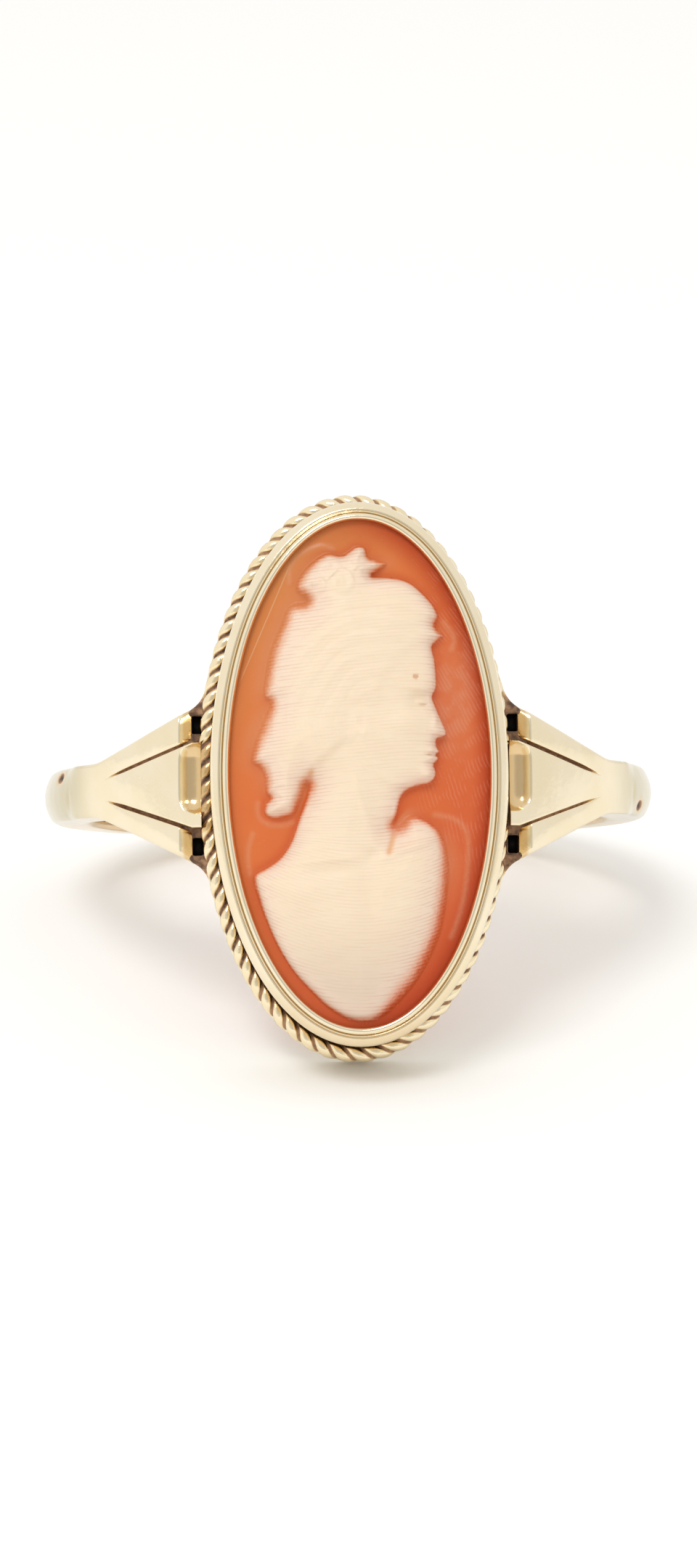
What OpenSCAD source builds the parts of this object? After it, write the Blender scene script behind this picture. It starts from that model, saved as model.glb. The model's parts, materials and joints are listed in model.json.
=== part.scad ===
// Cameo ring: a gold ring with a tall oval shell cameo.
// Millimetres. The ring is drawn upright, with the finger hole along Y and the head up at +Z,
// and then laid on its side, as it rests on a table.

/* [Finger hole and band] */
// Diameter of the finger hole
finger_d = 17.2; // [16:0.1:20]
// Width of the band at its sides, along the finger
band_w = 1.7; // [1.4:0.1:2.2]
// Width of the band at the back
band_back_w = 2; // [1.9:0.05:2.6]
// How far down the band reaches its full width, as a share of the hole's radius
widen_end = 0.6; // [0.4:0.05:0.8]
// Thickness of the band at its sides
band_t_side = 1.5; // [1.2:0.05:1.8]
// Thickness of the band at the back
band_t_back = 1.2; // [1:0.05:1.5]
// How far the outside of the band is domed across its width at the back
band_crown = 0.35; // [0.2:0.05:0.5]

/* [Shoulders] */
// Width of a shoulder where it meets the head
shoulder_w = 4.8; // [4.2:0.1:5.4]
// Height of the shoulder's end above the finger hole
shoulder_rise = 2; // [1.8:0.05:2.2]
// Where the flare starts, as a share of the way from the side of the band to the head
flare_start = 0.38; // [0.25:0.01:0.45]
// Height above the middle of the hole at which the flat shoulder starts on the round band
shoulder_foot = 4; // [3:0.1:5]
// Width of the two grooves that divide a shoulder
groove_w = 0.14; // [0.1:0.01:0.2]
// Depth of the grooves
groove_depth = 0.35; // [0.2:0.05:0.5]
// Where the grooves start, as a share of the way from the side of the band to the head
groove_start = 0.46; // [0.4:0.01:0.6]
// Distance between the two grooves where they start
groove_spread = 0.76; // [0.6:0.02:0.9]
// Width of the centre tongue
tongue_w = 2.8; // [2.4:0.1:3.2]
// Radius of the hollow scooped in the tongue's end
scoop_r = 0.65; // [0.5:0.05:0.75]
// Height of the hollow's middle above the shoulder's end, as a share of its radius
scoop_lift = 0.5; // [0.4:0.05:0.7]
// Thickness of the rim left at each side of the scoop
scoop_rim = 0.18; // [0.1:0.01:0.3]
// Slant of the outer prongs' ends
prong_slant = 20; // [5:1:35]

/* [Gallery plate] */
// Height of the plate's underside above the finger hole
gallery_rise = 0.7; // [0.5:0.05:0.8]
// Thickness of the plate
gallery_t = 0.75; // [0.6:0.05:0.9]
// How far the plate's edge stands out past the rope
gallery_edge = 0.05; // [0.02:0.01:0.12]
// How far the head sits off the band's middle line, along the finger
head_shift = 0.25; // [0:0.05:0.4]
// Space between the prongs' ends and the edge of the plate
prong_gap = 0.16; // [0.1:0.02:0.3]
// Length of each small blind hole between a prong's end and the rope
hole_l = 0.55; // [0.4:0.05:0.8]
// Width of each of those holes
hole_w = 0.34; // [0.2:0.02:0.4]
// Thickness of the plate left under those holes
hole_floor = 0.15; // [0.1:0.05:0.3]
// How far the fillets reach past the shoulders' sides, along the head
web_reach = 0.64; // [0.5:0.02:0.8]
// Radius of the hollow fillets between the shoulders and the head
fillet_r = 0.9; // [0.7:0.05:1.5]

/* [Bezel] */
// Thickness of the wall round the stone
bezel_wall = 0.35; // [0.25:0.01:0.45]
// Width of the ledge that the stone sits on
seat_w = 0.55; // [0.4:0.05:0.8]
// Thickness of that ledge above the rope
seat_t = 0.25; // [0.2:0.05:0.4]
// How far the lip reaches over the stone
lip_over = 0.2; // [0.12:0.01:0.3]
// Width of the burnished lip
lip_w = 0.2; // [0.14:0.01:0.24]
// Thickness of the lip above the stone
lip_t = 0.25; // [0.2:0.05:0.4]
// Width of the narrow step beside the lip
step_w = 0.16; // [0.12:0.01:0.2]
// Depth of the narrow step below the lip
step_drop = 0.1; // [0.05:0.01:0.14]
// Depth of the outer band below the narrow step
band_drop = 0.3; // [0.15:0.05:0.5]

/* [Rope border] */
// Diameter of the twisted rope
rope_d = 0.5; // [0.4:0.02:0.56]
// Length of rope that one full turn of the twist takes
rope_lay = 1.15; // [1:0.05:1.6]
// How far the rope stands out past the bezel at the sides of the head
rope_out_side = 0.28; // [0.24:0.02:0.36]
// How far the rope stands out past the bezel at the two ends of the head
rope_out_end = 0.44; // [0.3:0.02:0.5]

/* [Cameo] */
// Length of the stone
stone_l = 16; // [14:0.1:18]
// Width of the stone
stone_w = 8.4; // [7.6:0.1:9.4]
// Thickness of the stone at its edge
stone_t = 1.3; // [1:0.05:1.8]
// How far the ground rises from the edge to the middle
ground_dome = 0.35; // [0.1:0.05:0.6]
// Height of the carved figure above the ground
relief_h = 1.15; // [0.8:0.05:1.5]
// Bare ground kept between the figure and the lip
ground_margin = 0.25; // [0.2:0.05:0.5]

/* [Fit] */
// Gap kept between pieces
clearance = 0.05; // [0.03:0.01:0.06]

/* [Hidden] */
gold = "#d9bd82";
shell = "#e0a27a";
// how finely round faces are drawn
fine = 96;
// how far a cutting shape runs past what it cuts
past = 1;
// how far joined solids run into each other
sink = 0.25;
// a sliver that keeps two faces from lying in one plane
skin = 0.01;

// The band is a ring of domed section, set off centre so that it thins towards the back.
finger_r = finger_d / 2;
band_r = finger_r + band_t_side;
band_shift = band_t_side - band_t_back;
crown_r = (pow(band_back_w / 2, 2) + pow(band_crown, 2)) / (2 * band_crown);

// Half widths [across, along] of the ovals of the head.
stone_half = [stone_w, stone_l] / 2;
opening_half = stone_half - [lip_over, lip_over];
pocket_half = stone_half + [clearance, clearance];
bezel_half = pocket_half + [bezel_wall, bezel_wall];
lip_half = opening_half + [lip_w, lip_w];
step_half = lip_half + [step_w, step_w];
seat_half = pocket_half - [seat_w, seat_w];
rope_out_half = bezel_half + [rope_out_side, rope_out_end];
rope_half = rope_out_half - [rope_d, rope_d] / 2;
collet_half = rope_half - [1, 1] * (rope_d / 2 + clearance);
gallery_half = rope_out_half + [gallery_edge, gallery_edge];

// Heights above the middle of the finger hole.
gallery_z = finger_r + gallery_rise;
rope_seat_z = gallery_z + gallery_t;
rope_z = rope_seat_z + clearance + rope_d / 2;
overhang_z = rope_z + rope_d / 2 + clearance;
pocket_z = overhang_z + seat_t;
stone_z = pocket_z + clearance;
ground_z = stone_z + stone_t;
lip_z = ground_z + clearance + lip_t;
step_z = lip_z - step_drop;
band_z = step_z - band_drop;

// The shoulder's outer face is an arc that leaves the side of the band straight up.
shoulder_x = gallery_half[0] + prong_gap;
shoulder_z = finger_r + shoulder_rise;
shoulder_run = band_r - shoulder_x;
shoulder_r = (pow(shoulder_run, 2) + pow(shoulder_z, 2)) / (2 * shoulder_run);
shoulder_mid = shoulder_r - band_r;
flare_x = band_r - flare_start * shoulder_run;
groove_x = band_r - groove_start * shoulder_run;
tongue_x = rope_out_half[0] + clearance;

// The fillet's circle passes through the shoulder's corner and a point on the gallery's edge,
// on the side of the shoulder that is named.
function unit(v) = v / norm(v);
function oval_x(half, y) = half[0] * sqrt(1 - pow(y / half[1], 2));
web_y = shoulder_w / 2 + web_reach;
function web_a(side) = [shoulder_x, side * shoulder_w / 2];
function web_b(side) = [oval_x(gallery_half, side * web_y - head_shift), side * web_y];
function fillet_at(side) =
    let (along = web_b(side) - web_a(side),
         out = side * unit([along[1], -along[0]]))
    web_a(side) + along / 2 + out * sqrt(pow(fillet_r, 2) - pow(norm(along) / 2, 2));
hole_y = (tongue_w + shoulder_w) / 4;

// The ring tips until the head's lower end and the band's lower back edge both touch the table.
// Each point is [along the finger, towards the head].
head_points = [
    [head_shift - gallery_half[1], gallery_z],
    [head_shift - gallery_half[1], rope_seat_z],
    [head_shift - rope_out_half[1], rope_z],
    [head_shift - bezel_half[1], band_z],
    [head_shift - lip_half[1], lip_z]
];
back_points = [
    [-band_back_w / 2, band_crown - finger_r - band_t_back],
    [0, -finger_r - band_t_back]
];
function lean(back) = max([for (p = head_points) atan2(back[0] - p[0], p[1] - back[1])]);
tilt = min([for (b = back_points) lean(b)]);
function height(p) = p[0] * cos(tilt) + p[1] * sin(tilt);
function depth(p) = p[0] * sin(tilt) - p[1] * cos(tilt);
lift = -min([for (p = concat(head_points, back_points)) height(p)]);
front_y = min([for (p = head_points) depth(p)]);
back_y = max([for (p = back_points) depth([-p[0], p[1]])]);
middle_y = (front_y + back_y) / 2;

// The rope's rings are spaced evenly along the oval by looking up lengths along it.
rope_sides = 8;
rings_a_turn = 8;
rope_waist = 0.5;
arc_steps = 720;
function oval_point(half, a) = [half[0] * cos(a), half[1] * sin(a)];
function arc_angle(i) = i * 360 / arc_steps;
function arc_step(i) =
    norm(oval_point(rope_half, arc_angle(i + 1)) - oval_point(rope_half, arc_angle(i)));
arc_table = [
    for (i = 0, s = 0; i <= arc_steps; s = s + arc_step(i), i = i + 1)
        [s, arc_angle(i)]
];
rope_length = arc_table[arc_steps][0];
rope_turns = round(rope_length / rope_lay);
rope_rings = rope_turns * rings_a_turn;
function rope_angle(i) = lookup(i * rope_length / rope_rings, arc_table);
function oval_normal(half, a) = unit([half[1] * cos(a), half[0] * sin(a)]);
function rope_point(i, j) =
    let (a = rope_angle(i),
         turn = 360 * j / rope_sides,
         r = rope_d / 2 * max(abs(cos(turn + 360 * i / rings_a_turn)), rope_waist),
         c = oval_point(rope_half, a),
         n = oval_normal(rope_half, a))
    [c[0] + n[0] * r * cos(turn), c[1] + n[1] * r * cos(turn), rope_z + r * sin(turn)];

// The masses of the carved figure, a bust that looks to the right.
// x, y: middle, and rx, ry: half widths, as shares of the stone's half width and half length.
// h: height as a share of the figure's height. turn: degrees from upright.
X = 0;
Y = 1;
RX = 2;
RY = 3;
H = 4;
TURN = 5;
masses = [
    //  x      y      rx     ry     h     turn
    [-0.13,  0.77,  0.34,  0.115, 0.80,  10],  // knot of hair on the crown
    [ 0.20,  0.62,  0.42,  0.145, 0.90, -25],  // hair over the forehead
    [-0.15,  0.43,  0.56,  0.280, 1.00,   8],  // hair over the skull
    [-0.50,  0.14,  0.30,  0.190, 0.80,   8],  // hair at the nape
    [-0.62, -0.10,  0.14,  0.070, 0.55,   0],  // loose curl
    [ 0.24,  0.31,  0.30,  0.270, 0.95,   0],  // face
    [ 0.33,  0.12,  0.21,  0.095, 0.80,   0],  // jaw
    [ 0.53,  0.29,  0.09,  0.060, 0.55,   0],  // nose
    [-0.04, -0.08,  0.30,  0.260, 0.75,   8],  // neck
    [-0.10, -0.43,  0.66,  0.260, 0.80,   8],  // shoulders
    [ 0.04, -0.66,  0.54,  0.300, 0.85,   0]   // breast and lower edge of the bust
];
blend = 4;
// how quickly the figure falls to the ground at the bare margin
margin_fall = 20;
figure_half = opening_half - [ground_margin, ground_margin];
function inside(half, x, y) = max(0, 1 - pow(x / half[0], 2) - pow(y / half[1], 2));
function spread(m, x, y) =
    let (dx = x / stone_half[0] - m[X],
         dy = y / stone_half[1] - m[Y],
         k = stone_half[1] / stone_half[0],
         u = dx * cos(m[TURN]) + dy * k * sin(m[TURN]),
         v = dy * cos(m[TURN]) - dx / k * sin(m[TURN]))
    pow(u / m[RX], 2) + pow(v / m[RY], 2);
function mass_height(m, x, y) = m[H] * sqrt(max(0, 1 - spread(m, x, y)));
function sum(list) = list * [for (i = list) 1];
function relief(x, y) =
    relief_h * min(1, margin_fall * inside(figure_half, x, y))
        * pow(sum([for (m = masses) pow(mass_height(m, x, y), blend)]), 1 / blend);
function ground(x, y) = ground_z + ground_dome * inside(opening_half, x, y);

// The cameo's top is a square net drawn into an oval.
net_across = 28;
net_along = 56;
function net_at(i, n) = 2 * i / n - 1;
function net_xy(u, v) = [
    stone_half[0] * u * sqrt(1 - v * v / 2),
    stone_half[1] * v * sqrt(1 - u * u / 2)
];
function top_point(p) = [p[0], p[1], ground(p[0], p[1]) + relief(p[0], p[1])];
function net_index(i, j) = i * (net_along + 1) + j;
net_edge = concat(
    [for (i = [0:net_across - 1]) [i, 0]],
    [for (j = [0:net_along - 1]) [net_across, j]],
    [for (i = [net_across:-1:1]) [i, net_along]],
    [for (j = [net_along:-1:1]) [0, j]]
);

// An oval disc or ring wall with true curved sides.
module oval(half, h) {
    scale([half[0] / half[1], 1, 1])
        cylinder(h = h, r = half[1], $fn = fine);
}

module oval_ring(outer, inner, z0, z1) {
    translate([0, 0, z0])
        difference() {
            oval(outer, z1 - z0);
            translate([0, 0, -past])
                oval(inner, z1 - z0 + 2 * past);
        }
}

// A round bar along the finger, with its middle at x, z.
module bar(x, z, r, l) {
    translate([x, l / 2, z])
        rotate([90, 0, 0])
            cylinder(h = l, r = r, $fn = fine);
}

module both_sides() {
    children();
    mirror([1, 0, 0])
        children();
}

// The band runs round the back and up the sides until it is inside the shoulders.
module band() {
    intersection() {
        translate([0, 0, band_shift])
            rotate([90, 0, 0])
                rotate_extrude($fn = fine)
                    intersection() {
                        translate([band_r - crown_r, 0])
                            circle(r = crown_r, $fn = fine);
                        translate([finger_r - band_shift - past, -band_back_w / 2])
                            square([band_t_side + band_shift + 2 * past, band_back_w]);
                    }
        band_side_view();
    }
}

// The band's outline from the side: narrow beside the hole and wider at the back.
module band_side_view() {
    low = -band_r - past;
    full = -widen_end * finger_r;
    high = shoulder_foot + past;
    rotate([90, 0, 90])
        linear_extrude(2 * (band_r + past), center = true)
            polygon([
                [-band_back_w / 2, low],
                [band_back_w / 2, low],
                [band_back_w / 2, full],
                [band_w / 2, 0],
                [band_w / 2, high],
                [-band_w / 2, high],
                [-band_w / 2, 0],
                [-band_back_w / 2, full]
            ]);
}

// The body of the shoulder at +X: its outline from the front, under its arc seen from the side.
module shoulder_body() {
    intersection() {
        bar(-shoulder_mid, 0, shoulder_r, shoulder_w + past);
        translate([0, 0, shoulder_foot])
            linear_extrude(shoulder_z)
                polygon([
                    [shoulder_x, -shoulder_w / 2],
                    [flare_x, -band_w / 2],
                    [band_r + past, -band_w / 2],
                    [band_r + past, band_w / 2],
                    [flare_x, band_w / 2],
                    [shoulder_x, shoulder_w / 2]
                ]);
    }
}

// A groove follows the shoulder's arc at an even depth.
module groove(side) {
    difference() {
        translate([0, 0, shoulder_foot])
            linear_extrude(shoulder_z)
                polygon([
                    [groove_x, side * groove_spread / 2],
                    [shoulder_x - sink, side * (tongue_w + groove_w) / 2 + side * groove_w / 2],
                    [shoulder_x - sink, side * (tongue_w + groove_w) / 2 - side * groove_w / 2]
                ]);
        bar(-shoulder_mid, 0, shoulder_r - groove_depth, shoulder_w + 2 * past);
    }
}

// The outer prongs' ends are cut back on a slant, which leaves the tongue standing.
module prong_ends() {
    for (side = [-1, 1])
        translate([shoulder_x, side * (tongue_w / 2 + shoulder_w / 2), rope_seat_z + skin])
            rotate([0, prong_slant, 0])
                translate([-shoulder_w, -shoulder_w / 2, 0])
                    cube([shoulder_w, shoulder_w, shoulder_w]);
}

// The tongue reaches in to the rope.
module tongue() {
    intersection() {
        bar(-shoulder_mid, 0, shoulder_r, tongue_w);
        translate([tongue_x, -tongue_w / 2, gallery_z + skin])
            cube([shoulder_x - tongue_x + sink, tongue_w, shoulder_z]);
    }
}

// The hollow in the tongue's end is open towards the head and rounded at its corners.
module scoop() {
    reach = tongue_w / 2 - scoop_rim - scoop_r;
    z = shoulder_z + scoop_lift * scoop_r;
    bar(tongue_x, z, scoop_r, 2 * reach);
    for (side = [-1, 1])
        translate([tongue_x, side * reach, z])
            sphere(r = scoop_r, $fn = fine);
}

module shoulder() {
    difference() {
        union() {
            difference() {
                shoulder_body();
                prong_ends();
            }
            tongue();
        }
        for (side = [-1, 1])
            groove(side);
        scoop();
    }
}

// The gallery plate is an oval plate with a web out to each shoulder.
module web() {
    difference() {
        translate([0, 0, gallery_z])
            linear_extrude(gallery_t)
                polygon([
                    [seat_half[0], -web_y],
                    web_b(-1),
                    web_a(-1),
                    web_a(-1) + [prong_gap, prong_gap],
                    web_a(1) + [prong_gap, -prong_gap],
                    web_a(1),
                    web_b(1),
                    [seat_half[0], web_y]
                ]);
        for (side = [-1, 1])
            translate([fillet_at(side)[0], fillet_at(side)[1], gallery_z - past])
                cylinder(h = gallery_t + 2 * past, r = fillet_r, $fn = fine);
    }
}

// The blind holes are cut down into the plate, up against the prongs' ends.
module small_holes() {
    for (side = [-1, 1])
        translate([shoulder_x - hole_w, side * hole_y - hole_l / 2, gallery_z + hole_floor])
            cube([hole_w, hole_l, gallery_t - hole_floor + skin]);
}

module gallery() {
    oval_ring(gallery_half, seat_half, gallery_z, rope_seat_z);
}

// The collet stands on the plate inside the rope, and its wall steps out over the rope.
module bezel() {
    oval_ring(collet_half, seat_half, rope_seat_z - skin, pocket_z);
    oval_ring(bezel_half, seat_half, overhang_z, pocket_z);
    oval_ring(bezel_half, pocket_half, pocket_z - skin, band_z);
    oval_ring(step_half, pocket_half, band_z - skin, step_z);
    oval_ring(step_half, opening_half, ground_z + clearance, step_z);
    oval_ring(lip_half, opening_half, step_z - skin, lip_z);
}

// The ring lies on its side, on the lower end of its head and the lower edge of its back.
module laid_down() {
    translate([0, -middle_y, lift])
        rotate([90 - tilt, 0, 0])
            children();
}

// The head is set a little above the band's middle line.
module head_place() {
    translate([0, head_shift, 0])
        children();
}

module band_and_setting() {
    color(gold)
        laid_down()
            difference() {
                union() {
                    band();
                    both_sides() {
                        shoulder();
                        web();
                    }
                    head_place() {
                        gallery();
                        bezel();
                    }
                }
                bar(0, 0, finger_r, 2 * gallery_half[1]);
                both_sides()
                    small_holes();
            }
}

module rope_border() {
    color(gold)
        laid_down()
            head_place()
                polyhedron(
                    points = [for (i = [0:rope_rings - 1]) for (j = [0:rope_sides - 1]) rope_point(i, j)],
                    faces = [
                        for (i = [0:rope_rings - 1])
                            for (j = [0:rope_sides - 1])
                                let (next = (i + 1) % rope_rings,
                                     up = (j + 1) % rope_sides,
                                     a = i * rope_sides + j,
                                     b = i * rope_sides + up,
                                     c = next * rope_sides + up,
                                     d = next * rope_sides + j)
                                each [[a, b, c], [a, c, d]]
                    ]);
}

module cameo() {
    top = [for (i = [0:net_across]) for (j = [0:net_along])
        top_point(net_xy(net_at(i, net_across), net_at(j, net_along)))];
    edge = [for (e = net_edge) net_index(e[0], e[1])];
    bottom = [for (e = edge) [top[e][0], top[e][1], stone_z]];
    start = len(top);
    count = len(edge);
    color(shell)
        laid_down()
            head_place()
                polyhedron(
                    points = concat(top, bottom),
                    faces = concat(
                        [
                            for (i = [0:net_across - 1])
                                for (j = [0:net_along - 1])
                                    let (a = net_index(i, j),
                                         b = net_index(i, j + 1),
                                         c = net_index(i + 1, j + 1),
                                         d = net_index(i + 1, j))
                                    each (i < net_across / 2) == (j < net_along / 2)
                                        ? [[a, b, d], [b, c, d]]
                                        : [[a, b, c], [a, c, d]]
                        ],
                        [
                            for (k = [0:count - 1])
                                let (next = (k + 1) % count)
                                each [
                                    [start + k, edge[k], edge[next]],
                                    [start + k, edge[next], start + next]
                                ]
                        ],
                        [[for (k = [0:count - 1]) start + k]]
                    ));
}

band_and_setting();
rope_border();
cameo();
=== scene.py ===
"""A gold ring with a tall oval shell cameo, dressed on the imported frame."""

import json
import math

import bmesh
import bpy
import numpy as np
from mathutils import Matrix, Vector


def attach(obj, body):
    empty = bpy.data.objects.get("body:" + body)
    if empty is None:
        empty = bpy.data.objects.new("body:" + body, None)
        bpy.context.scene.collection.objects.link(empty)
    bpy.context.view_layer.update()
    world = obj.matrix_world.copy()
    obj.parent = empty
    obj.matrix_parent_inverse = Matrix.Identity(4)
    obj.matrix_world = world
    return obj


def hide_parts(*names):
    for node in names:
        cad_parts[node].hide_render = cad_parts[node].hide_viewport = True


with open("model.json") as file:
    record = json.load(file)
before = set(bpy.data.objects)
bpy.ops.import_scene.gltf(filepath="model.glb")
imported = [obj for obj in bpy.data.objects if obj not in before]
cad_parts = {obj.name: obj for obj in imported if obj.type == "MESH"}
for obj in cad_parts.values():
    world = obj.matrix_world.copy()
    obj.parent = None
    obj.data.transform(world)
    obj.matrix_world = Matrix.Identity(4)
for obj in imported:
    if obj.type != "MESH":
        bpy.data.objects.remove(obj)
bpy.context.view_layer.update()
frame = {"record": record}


# How the ring lies
# The ring lies on its side, and its finger hole leans. Every piece is drawn upright in millimetres,
# with X across the head, Y along the finger and Z towards the head, and is then laid down.

finger_hole = frame["record"]["mounts"][0]
along_finger = Vector(finger_hole["axis"])
towards_head = Vector((1, 0, 0)).cross(along_finger)
LAID = (
    Matrix.Translation(finger_hole["pos_m"])
    @ Matrix((Vector((1, 0, 0)), along_finger, towards_head)).transposed().to_4x4()
    @ Matrix.Scale(0.001, 4)
)


# Band and shoulders
# One gold wire, half round at the back and hammered out flat into two flared shoulders. Each has two
# sawn grooves, so that it reads as a tongue between two prongs, and the tongue's end is scooped out.

# the band: finger hole, outside, a little more at the back, and the rise of its half round
finger_r, band_r, band_rise, band_dome = 8.6, 10.1, 0.3, 0.30
band_half, back_half, widen_end, bore_round = 0.85, 1.0, 0.6, 0.16
# the shoulders' outer face is one arc, and their sides flare out from flare_x to the end
arc_x, arc_r = -3.61857, 13.7186
end_x, end_half, flare_x, wall_drop = 5.09, 2.40, 8.196, 0.555
# the grooves spread from the middle towards the head, and one on each shoulder is cut shallower
groove_x, groove_start, groove_end, groove_end_x = 7.795, 0.38, 1.47, 4.84
groove_half, groove_depth, groove_round, shallow_cut = 0.060, 0.30, 0.05, 0.45
# the tongue reaches past the end and is scooped by a round-nosed cutter, and the prongs end in a facet
tongue_end_x, tongue_foot, tongue_steps = 4.80, 9.80, 12
scoop_x, scoop_y, scoop_z, scoop_r, scoop_reach = 5.12, 0.22, 10.75, 0.64, 0.52
facet_x, facet_slope = 5.51, 0.38
# a small pit and a long dent near each end of the band: place, reach and depth
pit_place, pit_reach, pit_deep = (9.50, 0.52), (0.09, 0.15), 0.07
dent_place, dent_reach, dent_deep = (9.15, -0.22), (0.05, 0.30), 0.035
# painted shade: how dark the scooped ends and the inside of the band's back half are tinted
scoop_shade, back_inside_shade = 0.19, 0.15


def ease(value, low, high):
    """0 below low, 1 above high, and a smooth rise between them."""
    t = np.clip((value - low) / (high - low), 0, 1)
    return t * t * (3 - 2 * t)


def arc_z(x):
    """Height of the shoulder's outer face."""
    return np.sqrt(np.maximum(arc_r**2 - (x - arc_x) ** 2, 0))


def sink_at(x, y, in_tongue):
    """How far the end of the shoulder is cut down below its arc: the scoop, or a prong's end."""
    if in_tongue:
        inside = scoop_r**2 - (x - scoop_x) ** 2 - max(0.0, abs(y - scoop_y) - scoop_reach) ** 2
        cut = float(arc_z(x)) - (scoop_z - math.sqrt(max(inside, 0)))
        if inside <= 0:
            return 0.0
        soft = 0.09
    else:
        cut = float(arc_z(x)) - (float(arc_z(facet_x)) - facet_slope * (facet_x - x))
        soft = 0.03
    return max(0.0, 0.5 * (cut + math.sqrt(cut * cut + soft * soft)) - 0.25 * soft)


def across(x, u, share):
    """The half section at a station: kind, y, depth below the outer face, depth in the groove."""
    flare = (flare_x - x) / (flare_x - end_x)
    widened = min(1.0, -math.sin(min(u, 0) * math.pi / 2) / widen_end)
    half = band_half + (back_half - band_half) * widened
    if u > 0:
        half += (end_half - band_half) * 0.5 * (flare + math.sqrt(flare * flare + 0.0025))
    flat = float(ease(u, 0.38, 0.48))
    cut = float(ease(groove_x + 0.1 - x, 0.0, 0.7)) if u > 0 else 0.0
    if x > groove_x or u <= 0:
        groove = 0.343 * half
    else:
        run = groove_x - groove_end_x
        groove = groove_start + (groove_end - groove_start) * (groove_x - x) / run
    narrow = groove_half * (0.4 + 0.6 * cut) * (0.35 + 0.65 * share)
    rounding = 0.16 - 0.03 * flat
    dome = band_dome * (1 - flat) + 0.05 * flat

    def crown(y):
        """How far the face drops at y, with its tongue and prongs filed a little round."""
        if y < groove:
            filed = 0.02 * (y / groove) ** 2
        else:
            middle, reach = (groove + half) / 2, (half - groove) / 2
            filed = 0.05 * ((y - middle) / reach) ** 2
        return dome * (y / half) ** 2 + filed * cut

    row = []
    inner = groove - narrow - groove_round
    for i in range(16):
        row.append(("tongue", inner * math.sin(math.pi / 2 * i / 15.5), 0.0))
    for turn in (30, 60, 90):
        a = math.radians(turn)
        y = inner + groove_round * math.sin(a)
        row.append(("tongue", y, groove_round * (1 - math.cos(a)) * cut))
    for place, deep in ((0.8, 0.5), (0.5, 0.9), (0.0, 1.0), (-0.5, 0.9), (-0.8, 0.5)):
        row.append(("groove", groove - narrow * place, groove_depth * deep * cut * share))
    outer = groove + narrow
    for turn in (90, 60, 30, 0):
        a = math.radians(turn)
        y = outer + groove_round * (1 - math.sin(a))
        row.append(("prong", y, groove_round * (1 - math.cos(a)) * cut))
    start = outer + groove_round
    for i in range(1, 11):
        row.append(("prong", start + (half - rounding - start) * i / 10, 0.0))
    for turn in (15, 30, 45, 60, 75, 90):
        a = math.radians(turn)
        row.append(("edge", half - rounding * (1 - math.sin(a)), rounding * (1 - math.cos(a))))
    return [(kind, y, crown(y) + deep, deep) for kind, y, deep in row], half


def dent_at(x, y, place, reach):
    """1 in the middle of a small dent, fading out over its reach."""
    return math.exp(-(((x - place[0]) / reach[0]) ** 2) - ((y - place[1]) / reach[1]) ** 2)


def section_at(u, outer_x, thick, cuts, pit_side):
    """The closed section at a station: y, depth, dirt and painted shade, and its top points' kinds."""
    sides = []
    for way_y, share in zip((1, -1), cuts):
        half_row, half = across(outer_x, u, share if u > 0 else 1.0)
        loop = []
        for kind, y, depth, groove_in in half_row:
            dark_here = min(0.78, 1.6 * groove_in / groove_depth) if kind == "groove" else 0.0
            # the scooped tongue and the prongs' end facets are tinted as painted shade
            if u > 0.9:
                sunk = sink_at(outer_x, way_y * y, kind == "tongue")
                depth += sunk
                dark_here = max(dark_here, scoop_shade * float(ease(sunk, 0.05, 0.25)))
            if -0.1 < u < 0.5:
                pit = dent_at(outer_x, way_y * pit_side * y, pit_place, pit_reach)
                dent = dent_at(outer_x, way_y * y, dent_place, dent_reach)
                depth += pit_deep * pit + dent_deep * dent
                # the pit is a real dip painted black as a dark reflection, and the dent is tinted a
                # little darker
                dark_here = max(dark_here, 1.8 * pit, 0.12 * dent)
            loop.append((way_y * y, depth, dark_here))
        top = loop[-1][1]
        # painted shade on the bore and one side wall of the band's back half
        inside = back_inside_shade if u < 0 else 0.0
        at_end = ease(u, 0.97, 1.0)
        first = max(top + 0.03, wall_drop * at_end + (top + 0.1) * (1 - at_end))
        for i in range(8):
            down = first + (thick - bore_round - first) * i / 7
            loop.append((way_y * half, down, inside if way_y < 0 else 0.0))
        for turn in (30, 60, 90):
            a = math.radians(turn)
            y = half - bore_round * (1 - math.cos(a))
            loop.append((way_y * y, thick - bore_round * (1 - math.sin(a)), inside))
        for i in range(1, 5):
            loop.append((way_y * (half - bore_round) * (1 - i / 4), thick, inside))
        sides.append(loop)
    return sides[0] + sides[1][-2:0:-1], [kind for kind, _, _, _ in half_row]


def tongue_point(x, y, z, k):
    """The tongue's face k steps out from the end: over the scoop, down its own end and back."""
    base = z - float(arc_z(x)) + sink_at(x, y, True)
    if k <= tongue_steps:
        out = end_x - (end_x - tongue_end_x) * min(k / tongue_steps, 0.97)
        return out, float(arc_z(out)) + base - sink_at(out, y, True)
    if k == tongue_steps + 1:
        out = tongue_end_x
        return out, float(arc_z(out)) + base - sink_at(out, y, True) - 0.04
    return (tongue_end_x if k == tongue_steps + 2 else end_x), tongue_foot


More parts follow.
